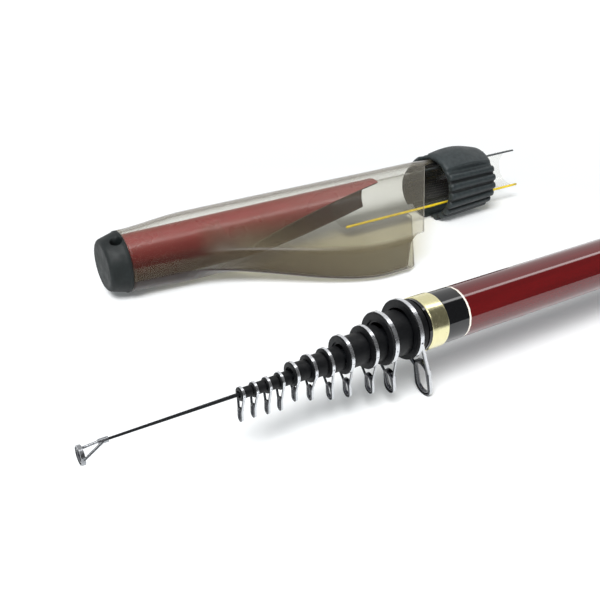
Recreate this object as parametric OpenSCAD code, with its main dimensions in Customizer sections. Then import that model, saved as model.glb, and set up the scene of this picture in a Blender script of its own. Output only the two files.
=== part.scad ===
// Telescopic fishing rod with line guides that ride on its sections, a pipe reel seat,
// a screwed butt cap and a tip cover that lies beside the rod. All sizes are millimetres.
// The rod axis is X: the tip points to -X, the butt to +X, and the guides hang to -Z.
// The origin is the middle of the straight rear grip, on the rod axis.

/* [Butt section] */
// Distance from the middle of the rear grip to the front of the gold ring
mouth_reach = 862; // [780:1:960]
// Outside diameter of the butt tube at its mouth
butt_front_d = 19.4; // [19.2:0.1:20.4]
// Outside diameter of the butt tube at its rear end
butt_rear_d = 24.6; // [24:0.1:25.4]
// Wall of the butt tube
butt_wall = 0.55; // [0.4:0.05:0.7]
// Length of bare tube end in front of the gold ring
mouth_lip = 1.2; // [0.8:0.1:2]
// Width of the gold ring round the mouth
gold_ring_w = 7.4; // [6:0.1:12]
// Height of the gold ring over the tube at its rear edge
gold_ring_h = 0.3; // [0.2:0.05:0.6]

/* [Inner sections] */
// Length of each section that stays inside the next one when it is drawn out
joint_overlap = 60; // [50:1:90]
// Front diameter of the fourth section
fourth_front_d = 13.2; // [12.8:0.1:13.4]
// Rear diameter of the fourth section
fourth_rear_d = 17.8; // [17:0.1:17.9]
// Wall of the fourth section
fourth_wall = 0.55; // [0.4:0.05:0.6]
// Front diameter of the third section
third_front_d = 8.8; // [8.6:0.1:9.2]
// Rear diameter of the third section
third_rear_d = 11.6; // [11:0.1:11.7]
// Wall of the third section
third_wall = 0.5; // [0.35:0.05:0.55]
// Front diameter of the second section
second_front_d = 5; // [4.8:0.1:5.2]
// Rear diameter of the second section
second_rear_d = 7.3; // [6.8:0.1:7.4]
// Wall of the second section
second_wall = 0.45; // [0.3:0.05:0.5]
// Diameter of the tip section at its point
tip_point_d = 0.8; // [0.7:0.1:1.2]
// Diameter of the tip section where its fine point ends
tip_fine_d = 1.5; // [1.4:0.1:1.7]
// Length of the fine point of the tip section
tip_fine_len = 60; // [40:1:90]
// Rear diameter of the tip section
tip_rear_d = 3.6; // [3:0.1:3.7]
// How far the tip section is drawn out past the first guide
tip_drawn = 45; // [20:1:56]
// How far the fourth section lies under the middle of the butt tube
fourth_sag = 0.8; // [0:0.1:1.2]
// Gap left under a section that lies in the next one
rest_gap = 0.3; // [0.3:0.05:0.5]

/* [Guides] */
// Length of rod that one closed guide of the tip section takes
tip_guide_pitch = 4.75; // [4.6:0.05:5.4]
// Length of rod that one closed guide of the second section takes
second_guide_pitch = 6.5; // [6.2:0.1:7.6]
// Length of rod that the sliding guide of the third section takes
third_guide_pitch = 6.6; // [6.2:0.1:8]
// Length of rod that the glued guide of the third section takes
third_end_pitch = 9.4; // [8.4:0.1:11]
// Length of rod that the sliding guide of the fourth section takes
fourth_guide_pitch = 6; // [5.6:0.1:8]
// Length of rod that the glued guide of the fourth section takes
fourth_end_pitch = 9.7; // [8.6:0.1:11]
// Height of the collar's flange over its bore, tip section
tip_flange_h = 1.05; // [1:0.05:1.4]
// Height of the collar's flange over its bore, second section
second_flange_h = 1.55; // [1.4:0.05:1.8]
// Height of the collar's flange over its bore, third section
third_flange_h = 2.3; // [2.1:0.05:2.6]
// Height of the collar's flange over its bore, fourth section
fourth_flange_h = 2.9; // [2.6:0.05:3.2]
// Wall of the collar's tube behind the flange, as a share of the flange height
collar_wall_share = 0.55; // [0.4:0.05:0.7]
// Play of a sliding collar round the tube where it stops
guide_play = 0.3; // [0.25:0.05:0.4]
// Axial gap between one closed collar and the next
stack_gap = 0.4; // [0.3:0.05:0.5]
// Thickness of the steel band round a flange
band_t = 0.35; // [0.3:0.05:0.45]
// Height of the steel band over the flange
band_proud = 0.12; // [0.05:0.01:0.2]
// Depth of the tube's end behind the face of a fixed collar
tube_recess = 0.6; // [0.4:0.1:1]
// Smallest width of the steel rim round a line ring
ring_rim_min = 0.4; // [0.35:0.05:0.5]
// Width of an oval line ring as a share of its height
ring_aspect = 0.54; // [0.5:0.01:0.58]

/* [Tip top] */
// Length of the ferrule on the tip
ferrule_len = 3; // [2:0.5:5]
// Wall of the ferrule
ferrule_wall = 0.45; // [0.3:0.05:0.6]
// Reach of the tip ring in front of the ferrule
tip_ring_reach = 5.5; // [5:0.5:9]
// Distance of the tip ring's middle under the tip's axis
tip_ring_drop = 2.4; // [1.5:0.1:3]
// Outside diameter of the tip ring's steel rim
tip_ring_d = 6.2; // [5.4:0.1:7.4]
// Thickness of the tip ring's legs
tip_leg_d = 0.9; // [0.7:0.1:1]

/* [Reel seat and grip] */
// Length of the straight rear grip
grip_len = 248; // [200:1:300]
// Outside diameter of the rear grip
grip_d = 27; // [27:0.1:28.4]
// Length of the reel seat body
seat_len = 126; // [116:1:150]
// Outside diameter of the reel seat body
seat_d = 26.4; // [26:0.1:26.8]
// Depth of the flat under the seat that the reel foot lies on
seat_flat = 0.9; // [0.6:0.1:1]
// Length of the fixed rear hood
rear_hood_len = 26; // [22:1:32]
// Length of the moving front hood
front_hood_len = 24; // [20:1:30]
// Wall of the hood's sleeve
hood_wall = 2; // [1.6:0.1:2.6]
// Radius of the bulge that holds the reel foot
hood_bulge_r = 10; // [9.6:0.1:11]
// Distance of the bulge's centre under the rod axis
hood_drop = 10.5; // [10:0.1:11.5]
// Wall of the bulge
hood_shell = 2.2; // [1.8:0.1:2.6]
// Clear length between the two hoods with the front hood back
foot_gap = 42; // [36:1:52]
// Length of the lock nut
nut_len = 16; // [12:1:20]
// Outside diameter of the lock nut
nut_d = 31.6; // [30.6:0.1:34]
// Number of grip flutes round the lock nut
nut_flutes = 18; // [12:1:24]
// Lead of the seat's screw thread
thread_lead = 4; // [3:0.5:5]
// Depth of the seat's screw thread
thread_depth = 0.5; // [0.3:0.1:0.7]

/* [Butt cap] */
// Thickness of the butt cap's flange
cap_flange_t = 8; // [6:0.5:12]
// Diameter of the butt cap's flange
cap_flange_d = 26.4; // [25.6:0.2:26.8]
// Length of the butt cap's plug inside the tube
cap_plug_len = 18; // [14:1:24]
// Width of the coin slot in the butt cap
coin_slot_w = 2.4; // [1.6:0.1:3]
// Depth of the coin slot in the butt cap
coin_slot_depth = 3; // [2:0.1:4]
// Thickness of the rubber cushion that the sections rest on
cushion_t = 6; // [4:0.5:9]
// Section thickness of the butt cap's O-ring
o_ring_t = 1.4; // [1.2:0.1:1.8]

/* [Tip cover] */
// Length of the cover's rubber nose cap
nose_len = 9.8; // [9:0.1:12]
// Radius of the nose cap's flat front
nose_front_r = 12.2; // [11:0.1:13]
// Diameter of the cord hole in the nose cap
cord_hole_d = 5; // [4:0.1:5.6]
// Radius of the cover's shell at the nose cap
shell_nose_r = 14.8; // [14.4:0.1:15.4]
// Largest radius of the cover's round back
shell_r = 16.9; // [16.6:0.1:17.6]
// Radius of the cover's back where the tongue starts
shell_rim_r = 16.1; // [15.8:0.1:16.5]
// Radius of the tongue at its end
tongue_end_r = 13.4; // [13.2:0.1:14.2]
// Wall of the cover's shell
shell_wall = 1.2; // [0.9:0.1:1.4]
// Depth of the guide keel from the cover's axis
keel_depth = 57.3; // [52:0.1:62]
// Half thickness of the keel where it starts
keel_half_front = 6.4; // [5.5:0.1:8]
// Half thickness of the keel at the cover's mouth
keel_half_rear = 9.8; // [9:0.1:11]
// Rounding of the keel's edges
keel_round = 3.9; // [3:0.1:5]
// How far the lower corner of the cover's mouth is drawn back
mouth_corner = 6; // [3:0.5:8]
// How far the mouth runs out along the tongue's upper edge
mouth_sweep = 16; // [8:1:22]
// Distance from the nose to where the keel starts to grow
keel_start = 32; // [28:1:38]
// Distance from the nose to where the keel has its full depth
keel_full = 125; // [114:1:132]
// Distance from the nose to the mouth at the keel
mouth_keel_x = 141; // [136:1:147]
// Distance from the nose to the mouth at the round back
mouth_back_x = 182; // [177:1:186]
// Distance from the nose to the tongue's end
tongue_x = 235; // [230:1:243]
// Outside radius of the red inner sleeve
sleeve_r = 12.4; // [12.3:0.1:12.7]
// Wall of the red inner sleeve
sleeve_wall = 1.2; // [0.9:0.1:1.3]
// Distance from the nose to the sleeve's far end
sleeve_x = 154; // [148:1:164]
// Distance from the nose to where the sleeve's slanted cut starts
sleeve_cut_x = 66; // [54:1:80]
// Outside radius of the clear film
film_r = 10.7; // [10.5:0.1:10.8]
// Thickness of the clear film
film_t = 0.4; // [0.3:0.05:0.5]
// Distance from the nose to the film's front end
film_front_x = 133; // [128:1:139]
// Distance from the nose to the film's rear end
film_rear_x = 257; // [252:1:265]
// Distance from the nose to the strap's front edge
strap_front_x = 191; // [189:1:194]
// Distance from the nose to the strap's rear edge
strap_rear_x = 226; // [222:1:228]
// Distance from the nose to the front edge of the strap's flap
flap_front_x = 194; // [192:0.5:196]
// Distance from the nose to the rear edge of the strap's flap
flap_rear_x = 228; // [226:0.5:229]
// Thickness of the rubber strap
strap_t = 2.4; // [2:0.1:3]
// Height of the smooth pad on top of the strap
strap_pad_h = 3; // [2:0.1:3.4]
// Number of grip ribs on the strap
strap_ribs = 7; // [5:1:9]

/* [Where the cover lies] */
// Distance of the cover's nose in front of the gold ring
cover_ahead = 64; // [40:0.5:80]
// Distance of the cover's nose behind the rod, seen from the front
cover_aside = 145; // [135:1:180]
// Turn of the cover towards the rod, degrees
cover_yaw = 1.5; // [0:0.5:6]
// Roll of the cover onto its keel, degrees
cover_roll = 7; // [5:0.5:8]

/* [Hidden] */
$fn = 96;
eps = 0.01;
// Clearances that several pieces share
seat_fit = 0.03;
run_fit = 0.1;
face_gap = 0.3;
plug_fit = 0.2;

// Rod stations along X
mouth_x = -mouth_reach;
grip_x0 = -grip_len / 2;
grip_x1 = grip_len / 2;
cap_x = grip_x1 + face_gap;
cushion_x = cap_x - cap_plug_len - cushion_t;
rear_stop_x = cushion_x - stack_gap;
tube_front_x = mouth_x - mouth_lip;

// Sections from the tip to the fourth: index 0 tip, 1 second, 2 third, 3 fourth
front_d = [tip_point_d, second_front_d, third_front_d, fourth_front_d];
rear_d = [tip_rear_d, second_rear_d, third_rear_d, fourth_rear_d];
wall = [0, second_wall, third_wall, fourth_wall];
float_pitch = [tip_guide_pitch, second_guide_pitch, third_guide_pitch, fourth_guide_pitch];
end_pitch = [0, second_guide_pitch, third_end_pitch, fourth_end_pitch];
flange_h = [tip_flange_h, second_flange_h, third_flange_h, fourth_flange_h];
lip_w = [0.35, 0.4, 0.5, 0.6];
band_w = [0.9, 1.1, 1.3, 1.6];
rim_w = [0.7, 0.8, 0.9, 1.2];
floats = [4, 2, 1, 1];

// Guides counted from the tip: the section that each rides on, and its place there.
// Place 0 is glued to the section's end, place 1 is the first one that slides.
GUIDE_SECTION = [0, 0, 0, 0, 1, 1, 1, 2, 2, 3, 3];
GUIDE_PLACE = [1, 2, 3, 4, 0, 1, 2, 0, 1, 0, 1];
GUIDES = len(GUIDE_SECTION);
// Height of each oval line ring, its lowest point under the guide's own axis, how far that point is behind
// the band, and the ring's lean to the butt
ring_h = [5.2, 5.2, 5.2, 5.2, 5.4, 6, 6.8, 7.6, 8.4, 10, 16];
ring_low = [10.3, 10.4, 11, 11.4, 10.8, 12.6, 15.2, 17.8, 19.8, 24, 31.6];
ring_back = [-0.4, -0.4, 0, 0.1, 0.9, 0.6, 2.3, 3, 3.4, 6, 13];
ring_lean = [0, 0, 0, 0, 2, 2, 4, 5, 5, 7, 10];
// Widths of a ring's steel rim and ceramic lining, and the radius of its legs, as shares of the ring's height
rim_share = 0.042;
lining_share = 0.075;
lining_min = 0.5;
leg_share = 0.047;
leg_min = 0.42;

function guide_pitch(i) = is_fixed(i) ? end_pitch[GUIDE_SECTION[i]] : float_pitch[GUIDE_SECTION[i]];
function face_x(i) = i >= GUIDES ? tube_front_x : face_x(i + 1) - guide_pitch(i);
function collar_len(i) = guide_pitch(i) - stack_gap;
function is_fixed(i) = GUIDE_PLACE[i] == 0;
function top_guide(s) = [-1, 4, 7, 9][s];
function section_x(s) = s == 0 ? face_x(0) - stack_gap - tip_drawn : face_x(top_guide(s)) + tube_recess;
function section_rear_x(s) = s == 0 ? rear_stop_x - tip_drawn : rear_stop_x;
function section_len(s) = section_rear_x(s) - section_x(s);
function outer_mouth_x(s) = s == 3 ? tube_front_x : section_x(s + 1);
function travel(s) = section_rear_x(s) - outer_mouth_x(s) - joint_overlap;
function tip_od(u) = lookup(u, [[0, tip_point_d], [tip_fine_len, tip_fine_d], [section_len(0), tip_rear_d]]);
function cone_od(s, u) = front_d[s] + (rear_d[s] - front_d[s]) * u / section_len(s);
function section_od(s, u) = s == 0 ? tip_od(u) : cone_od(s, u);
// Share of the section's travel that the outer tube leaves between a drawn guide and the section's end
function drawn_u(i) = let (s = GUIDE_SECTION[i])
    face_x(i) - section_x(s) + travel(s) * GUIDE_PLACE[i] / (floats[s] + 1);
function bore_r(i) = let (s = GUIDE_SECTION[i])
    section_od(s, drawn_u(i) + collar_len(i)) / 2 + (is_fixed(i) ? seat_fit : guide_play);
function flange_r(i) = bore_r(i) + flange_h[GUIDE_SECTION[i]];
function collar_r(i) = bore_r(i) + flange_h[GUIDE_SECTION[i]] * collar_wall_share;
function band_x(i) = face_x(i) + lip_w[GUIDE_SECTION[i]];
function band_mid_x(i) = band_x(i) + band_w[GUIDE_SECTION[i]] / 2;
function band_r(i) = flange_r(i) + band_proud;
function ring_w(i) = ring_h[i] * ring_aspect;
function rim_t(i) = max(ring_rim_min, ring_h[i] * rim_share);
function lining_t(i) = max(lining_min, ring_h[i] * lining_share);
function leg_r(i) = max(leg_min, ring_h[i] * leg_share);
// Each section lies on the bottom of the next one; the last guide sits in the mouth of the butt tube
function lie_in(s) = s == 3 ? fourth_sag
    : front_d[s + 1] / 2 - wall[s + 1] - section_od(s, section_x(s + 1) - section_x(s)) / 2 - rest_gap;
function sag(s) = s == 3 ? lie_in(3) : sag(s + 1) + lie_in(s);
function guide_sag(i) = i == GUIDES - 1 ? 0 : sag(GUIDE_SECTION[i]);

// Reel seat stations
seat_x1 = grip_x0 - face_gap;
seat_x0 = seat_x1 - seat_len;
seat_bore_r = butt_d(seat_x1) / 2 + seat_fit;
seat_flat_z = seat_d / 2 - seat_flat;
bed_inset = 0.5;
bed_relief = 0.2;
rear_hood_x0 = seat_x1 - rear_hood_len;
front_hood_x1 = rear_hood_x0 - foot_gap;
front_hood_x0 = front_hood_x1 - front_hood_len;
nut_x1 = front_hood_x0 - face_gap;
nut_x0 = nut_x1 - nut_len;
hood_bore_r = seat_d / 2 + run_fit;
hood_sleeve_r = hood_bore_r + hood_wall;
hood_end_wall = 4;
hood_low = hood_drop + hood_bulge_r;
thread_x1 = front_hood_x0 + front_hood_len / 2;
function butt_d(x) = butt_front_d
    + (butt_rear_d - butt_front_d) * (x - tube_front_x) / (grip_x1 - tube_front_x);

// The plane that the rod and its cover lie on: it touches the last guide's ring and the rear hood
low_ring_x = band_mid_x(GUIDES - 1) + ring_back[GUIDES - 1];
lie_slope = atan((ring_low[GUIDES - 1] - hood_low) / (rear_hood_x0 - low_ring_x));
function lie_z(x) = -ring_low[GUIDES - 1] + tan(lie_slope) * (x - low_ring_x);

// Cover: angles are measured round its axis from the round back, over the top, to the keel at 180
strap_hinge_a = 60;
strap_end_a = 258;
strap_base_a = -98;
strap_gap_a = 6;
strap_bead_in = 0.1;
tongue_top_a = 80;
tongue_low_a = -70;
sweep_a = 32;
film_top_a = 80;
film_low_a = -121;
film_edge_a = 8;
pad_a = 64;
pad_inset_a = 4;
pad_front_inset = 2;
pad_rear_inset = 3;
pad_rear_x = tongue_x - pad_rear_inset;
pad_front_x = mouth_back_x + pad_front_inset;
cord_hole_a = 104;
sleeve_end_y = 4;
sleeve_cut_tilt = 30;
shell_sides = 48;
shell_rings = 22;
strap_in_fit = 0.25;
strap_rib_r = 1.3;
strap_pad_steps = 8;
strap_rib_a0 = 142;
strap_rib_a1 = 244;

GUIDE_NODES = [for (i = [0 : GUIDES - 1]) for (p = ["collar", "frame", "ring"]) str("guide_", i + 1, "_", p)];

// Turns a solid of revolution, drawn with its axis on Z, onto the rod axis
module along_x() {
    rotate([0, 90, 0])
        rotate_extrude()
            children();
}

// A drawing in the YZ plane, seen along the rod, given a thickness along X about x = 0
module across_x(t) {
    rotate([90, 0, 90])
        linear_extrude(height = t, center = true)
            children();
}

module cone_tube(x0, x1, d0, d1, t) {
    along_x()
        polygon([[d0 / 2 - t, x0], [d0 / 2, x0], [d1 / 2, x1], [d1 / 2 - t, x1]]);
}

module rod_cylinder(x0, x1, r) {
    translate([x0, 0, 0])
        rotate([0, 90, 0])
            cylinder(h = x1 - x0, r = r);
}

module butt_tube() {
    color("darkred")
        cone_tube(tube_front_x, grip_x1, butt_front_d, butt_rear_d, butt_wall);
}

module gold_ring() {
    x1 = mouth_x + gold_ring_w;
    r0 = butt_d(mouth_x) / 2 + seat_fit;
    r1 = butt_d(x1) / 2 + seat_fit;
    r = r1 + gold_ring_h;
    edge = gold_ring_h;
    color("khaki")
        along_x()
            polygon([
                [r0, mouth_x], [r - edge, mouth_x], [r, mouth_x + edge],
                [r, x1 - edge], [r - edge / 2, x1], [r1, x1]
            ]);
}

module section(s) {
    color([0.06, 0.06, 0.07])
        translate([0, 0, -sag(s)])
            cone_tube(section_x(s), section_rear_x(s), front_d[s], rear_d[s], wall[s]);
}

module fourth_section() {
    section(3);
}

module third_section() {
    section(2);
}

module second_section() {
    section(1);
}

module tip_section() {
    x0 = section_x(0);
    color([0.06, 0.06, 0.07])
        translate([0, 0, -sag(0)])
            along_x()
                polygon([
                    [0, x0], [tip_point_d / 2, x0], [tip_fine_d / 2, x0 + tip_fine_len],
                    [tip_rear_d / 2, section_rear_x(0)], [0, section_rear_x(0)]
                ]);
}

// Black collar: a flange with a flat front face, a seat for the steel band, and a narrower tube
module guide_collar(i) {
    s = GUIDE_SECTION[i];
    x0 = face_x(i);
    x1 = x0 + collar_len(i);
    u0 = x0 - section_x(s);
    rf = is_fixed(i) ? section_od(s, max(u0, 0)) / 2 + seat_fit : bore_r(i);
    band_seat_r = flange_r(i) - band_t;
    color([0.09, 0.09, 0.1])
        translate([0, 0, -guide_sag(i)])
            along_x()
                polygon([
                    [rf, x0], [flange_r(i) - lip_w[s] / 2, x0], [flange_r(i), x0 + lip_w[s] / 2],
                    [flange_r(i), band_x(i)], [band_seat_r, band_x(i)],
                    [band_seat_r, band_x(i) + band_w[s]], [collar_r(i), band_x(i) + band_w[s]],
                    [collar_r(i), x1], [bore_r(i), x1]
                ]);
}

// Round wire with round ends from p to q
module wire(p, q, r) {
    d = q - p;
    translate(p)
        rotate([0, acos(d[2] / norm(d)), atan2(d[1], d[0])]) {
            sphere(r);
            cylinder(h = norm(d), r = r);
            translate([0, 0, norm(d)])
                sphere(r);
        }
}

// Oval of height h and width w that stands on the origin
module oval(h, w) {
    for (z = [w / 2, h - w / 2])
        translate([0, z])
            circle(w / 2);
    translate([-w / 2, w / 2])
        square([w, h - w]);
}

// Moves a drawing that stands on the origin to the place of a guide's line ring
module ring_plane(i) {
    translate([band_mid_x(i) + ring_back[i], 0, -ring_low[i]])
        rotate([0, -ring_lean[i], 0])
            children();
}

// One leg of a guide frame: it leaves the side of the band and runs to the upper side of the line ring
module guide_leg(i, side) {
    up = ring_h[i] - ring_w(i) / 2;
    a = 5;
    r = band_r(i) - leg_r(i) / 2;
    p = [band_mid_x(i), side * r * cos(a), -r * sin(a)];
    q = [band_mid_x(i) + ring_back[i] - up * sin(ring_lean[i]),
        side * (ring_w(i) / 2 - leg_r(i)), up * cos(ring_lean[i]) - ring_low[i]];
    wire(p, q, leg_r(i));
}

// Polished steel frame: band round the collar, two legs and the rim that holds the line ring
module guide_frame(i) {
    s = GUIDE_SECTION[i];
    x0 = band_x(i) + seat_fit;
    x1 = band_x(i) + band_w[s];
    seat_r = flange_r(i) - band_t + seat_fit;
    hole_h = ring_h[i] - 2 * rim_t(i);
    hole_w = ring_w(i) - 2 * rim_t(i);
    color("silver")
        translate([0, 0, -guide_sag(i)])
            difference() {
                union() {
                    rod_cylinder(x0, x1, band_r(i));
                    for (side = [-1, 1])
                        guide_leg(i, side);
                    ring_plane(i)
                        across_x(rim_w[s])
                            oval(ring_h[i], ring_w(i));
                }
                rod_cylinder(x0 - guide_pitch(i), x0, flange_r(i) + seat_fit);
                rod_cylinder(x0 - eps, x1, seat_r);
                rod_cylinder(x1 - eps, x1 + guide_pitch(i), collar_r(i) + seat_fit);
                ring_plane(i)
                    translate([0, 0, rim_t(i)])
                        across_x(4 * ring_w(i))
                            oval(hole_h, hole_w);
            }
}

// Dark ceramic ring that the line runs through
module guide_ring(i) {
    rs = lining_t(i) / 2;
    re = ring_w(i) / 2 - rim_t(i) - seat_fit - rs;
    run = ring_h[i] - ring_w(i);
    color([0.16, 0.16, 0.18])
        translate([0, 0, -guide_sag(i)])
            ring_plane(i)
                translate([0, 0, ring_w(i) / 2]) {
                    rotate([0, 90, 0])
                        rotate([0, 0, -90])
                            rotate_extrude(angle = 180)
                                translate([re, 0])
                                    circle(rs);
                    translate([0, 0, run])
                        rotate([0, 90, 0])
                            rotate([0, 0, 90])
                                rotate_extrude(angle = 180)
                                    translate([re, 0])
                                        circle(rs);
                    for (side = [-1, 1])
                        translate([0, side * re, 0])
                            cylinder(h = run, r = rs);
                }
}

// Tip top: a ferrule on the point of the tip section, two legs and the rim of the tip ring under the axis
ferrule_x0 = section_x(0) - ferrule_wall;
ferrule_x1 = ferrule_x0 + ferrule_len;
ferrule_r = tip_od(ferrule_len) / 2 + seat_fit + ferrule_wall;
tip_ring_x = ferrule_x0 - tip_ring_reach;
tip_rim_t = 0.45;
tip_rim_w = 1.2;

module tip_leg(side) {
    r = tip_leg_d / 2;
    wire([ferrule_x0 + ferrule_len / 2, side * ferrule_r / 2, 0],
        [tip_ring_x, side * (tip_ring_d / 2 - r / 2), -tip_ring_drop], r);
}

module tip_top_frame() {
    color("silver")
        translate([0, 0, -sag(0)])
            difference() {
                union() {
                    rod_cylinder(ferrule_x0, ferrule_x1, ferrule_r);
                    for (side = [-1, 1])
                        tip_leg(side);
                    translate([tip_ring_x, 0, -tip_ring_drop])
                        across_x(tip_rim_w)
                            circle(tip_ring_d / 2);
                }
                rod_cylinder(section_x(0), ferrule_x1 + ferrule_len, tip_od(ferrule_len) / 2 + seat_fit);
                translate([0, 0, -tip_ring_drop])
                    rod_cylinder(tip_ring_x - tip_rim_w, tip_ring_x + tip_rim_w, tip_ring_d / 2 - tip_rim_t);
            }
}

module tip_top_ring() {
    r1 = tip_ring_d / 2 - tip_rim_t - seat_fit;
    rs = 0.4;
    color([0.16, 0.16, 0.18])
        translate([tip_ring_x, 0, -sag(0) - tip_ring_drop])
            along_x()
                translate([r1 - rs, 0])
                    circle(rs);
}

// Reel seat body: rings stand in for the screw thread in front of the flat that the reel foot lies on,
// and the seat is cut a little deeper under the hoods
module reel_seat_body() {
    r = seat_d / 2;
    turns = floor((thread_x1 - seat_x0) / thread_lead) - 1;
    color([0.1, 0.1, 0.11])
        difference() {
            rod_cylinder(seat_x0, seat_x1, r);
            rod_cylinder(seat_x0 - eps, seat_x1 + eps, seat_bore_r);
            for (k = [1 : turns])
                translate([seat_x0 + k * thread_lead, 0, 0])
                    along_x()
                        polygon([
                            [r - thread_depth, 0], [r + eps, -thread_lead / 4], [r + eps, thread_lead / 4]
                        ]);
            translate([front_hood_x0, -r, -r - seat_flat_z])
                cube([seat_x1 - front_hood_x0 + eps, seat_d, r]);
            for (x = [[front_hood_x0, front_hood_x1 + bed_inset], [rear_hood_x0 - bed_inset, seat_x1 + eps]])
                translate([x[0], -r, -r - seat_flat_z + bed_relief])
                    cube([x[1] - x[0], seat_d, r]);
        }
}

// A hood: a sleeve round the seat with a bulge under it whose pocket opens at x = length
module hood(length) {
    difference() {
        union() {
            rod_cylinder(0, length, hood_sleeve_r);
            translate([0, 0, -hood_drop])
                rod_cylinder(0, length, hood_bulge_r);
        }
        rod_cylinder(-eps, length + eps, hood_bore_r);
        translate([0, 0, -hood_drop])
            rod_cylinder(hood_end_wall, length + eps, hood_bulge_r - hood_shell);
    }
}

module reel_seat_rear_hood() {
    color([0.12, 0.12, 0.13])
        translate([seat_x1, 0, 0])
            mirror([1, 0, 0])
                hood(rear_hood_len);
}

module reel_seat_front_hood() {
    color([0.12, 0.12, 0.13])
        translate([front_hood_x0, 0, 0])
            hood(front_hood_len);
}

module reel_seat_lock_nut() {
    flute_r = nut_d / nut_flutes;
    color([0.75, 0.68, 0.42])
        difference() {
            rod_cylinder(nut_x0, nut_x1, nut_d / 2);
            rod_cylinder(nut_x0 - eps, nut_x1 + eps, hood_bore_r);
            for (k = [0 : nut_flutes - 1])
                rotate([360 * k / nut_flutes, 0, 0])
                    translate([0, 0, nut_d / 2 + flute_r * 0.6])
                        rod_cylinder(nut_x0 - eps, nut_x1 + eps, flute_r);
        }
}

module rear_grip() {
    r = grip_d / 2;
    color([0.08, 0.08, 0.08])
        along_x()
            polygon([
                [butt_d(grip_x0) / 2 + seat_fit, grip_x0], [r, grip_x0],
                [r, grip_x1], [butt_d(grip_x1) / 2 + seat_fit, grip_x1]
            ]);
}

// Butt cap: a flange with a coin slot, and a plug with a groove for the O-ring
cap_plug_r = butt_d(cap_x - cap_plug_len) / 2 - butt_wall - plug_fit;
o_ring_x = cap_x - cap_plug_len / 2;
o_ring_c = cap_plug_r + plug_fit - 2 * seat_fit - o_ring_t / 2;

module butt_cap() {
    r = cap_flange_d / 2;
    edge = cap_flange_t / 4;
    x1 = cap_x + cap_flange_t;
    groove_r = o_ring_c - o_ring_t / 2 - seat_fit;
    groove_w = o_ring_t / 2 + seat_fit;
    color([0.14, 0.14, 0.15])
        difference() {
            along_x()
                polygon([
                    [0, cap_x - cap_plug_len], [cap_plug_r, cap_x - cap_plug_len],
                    [cap_plug_r, o_ring_x - groove_w], [groove_r, o_ring_x - groove_w],
                    [groove_r, o_ring_x + groove_w], [cap_plug_r, o_ring_x + groove_w],
                    [cap_plug_r, cap_x], [r, cap_x], [r, x1 - edge], [r - edge, x1], [0, x1]
                ]);
            translate([x1 - coin_slot_depth, -r, -coin_slot_w / 2])
                cube([coin_slot_depth + eps, cap_flange_d, coin_slot_w]);
        }
}

module butt_cap_o_ring() {
    color([0.05, 0.05, 0.05])
        translate([o_ring_x, 0, 0])
            along_x()
                translate([o_ring_c, 0])
                    circle(o_ring_t / 2);
}

module butt_cap_cushion() {
    color([0.2, 0.2, 0.2])
        rod_cylinder(cushion_x, cushion_x + cushion_t, cap_plug_r - plug_fit);
}

// Lays the cover, drawn with its nose at the origin and its axis along X, on the plane beside the rod
module lay_cover() {
    x = mouth_x - cover_ahead;
    translate([x, cover_aside, lie_z(x) + shell_r - shell_full_x * tan(cover_pitch)])
        rotate([0, -lie_slope - cover_pitch, 0])
            rotate([0, 0, -cover_yaw])
                rotate([cover_roll, 0, 0])
                    children();
}

// Part of a solid of revolution round the cover's axis, from angle a0 to a1 round from the back
module round_cover(a0, a1) {
    rotate([0, 90, 0])
        rotate([0, 0, 90 + a0])
            rotate_extrude(angle = a1 - a0)
                children();
}

function ease(u) = let (v = min(max(u, 0), 1)) v * v * (3 - 2 * v);
function mix(a, b, u) = a + (b - a) * u;
// Radius of the cover's round back, depth and half thickness of its keel, all at x from the nose
shell_full_x = 44;
function back_r(x) = x < shell_full_x
    ? mix(shell_nose_r, shell_r, ease((x - nose_len) / (shell_full_x - nose_len)))
    : x < mouth_back_x
    ? mix(shell_r, shell_rim_r, ease((x - shell_full_x) / (mouth_back_x - shell_full_x)))
    : mix(shell_rim_r, tongue_end_r, (x - mouth_back_x) / (tongue_x - mouth_back_x));
// The cover rests on its back where that is widest, and on the strap
strap_low_r = back_r(strap_front_x) + strap_in_fit + strap_t;
cover_pitch = atan((strap_low_r - shell_r) / (strap_front_x - shell_full_x));
function keel_d(x) = mix(back_r(x), keel_depth, ease((x - keel_start) / (keel_full - keel_start)));
function keel_h(x) = mix(keel_half_front, keel_half_rear, ease((x - keel_start) / (keel_full - keel_start)));
// Point of the section's outline, t inside its outer face, whose outward direction is at angle a
function pick(p, q, d) = q * d > p * d ? q : p;
function shell_point(x, a, t) = let (
    d = [cos(a), sin(a)],
    c = [keel_round - keel_d(x), keel_h(x) - keel_round],
    on_back = d * (back_r(x) - t),
    on_top = c + d * (keel_round - t),
    on_low = [c[0], -c[1]] + d * (keel_round - t)
) pick(pick(on_back, on_top, d), on_low, d);
// Where the shell ends at angle a: the tongue on the back, a slanted mouth elsewhere
function on_tongue(a) = a <= tongue_top_a || a >= 360 + tongue_low_a;
function mouth_h(a) = max(shell_point(mouth_keel_x, a, 0)[0] + keel_depth, 0);
function mouth_u(a) = min(mouth_h(a) / (keel_depth - keel_round * 2), 1);
function mouth_cut(a) = mouth_corner * pow(1 - min(mouth_h(a) / (keel_round * 2), 1), 2);
function sweep_out(a) = a > 180 ? 0 : mouth_sweep * pow(max(1 - (a - tongue_top_a) / sweep_a, 0), 2);
function shell_end(a) = on_tongue(a) ? tongue_x
    : mix(mouth_keel_x, mouth_back_x, mouth_u(a)) - mouth_cut(a) + sweep_out(a);

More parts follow.
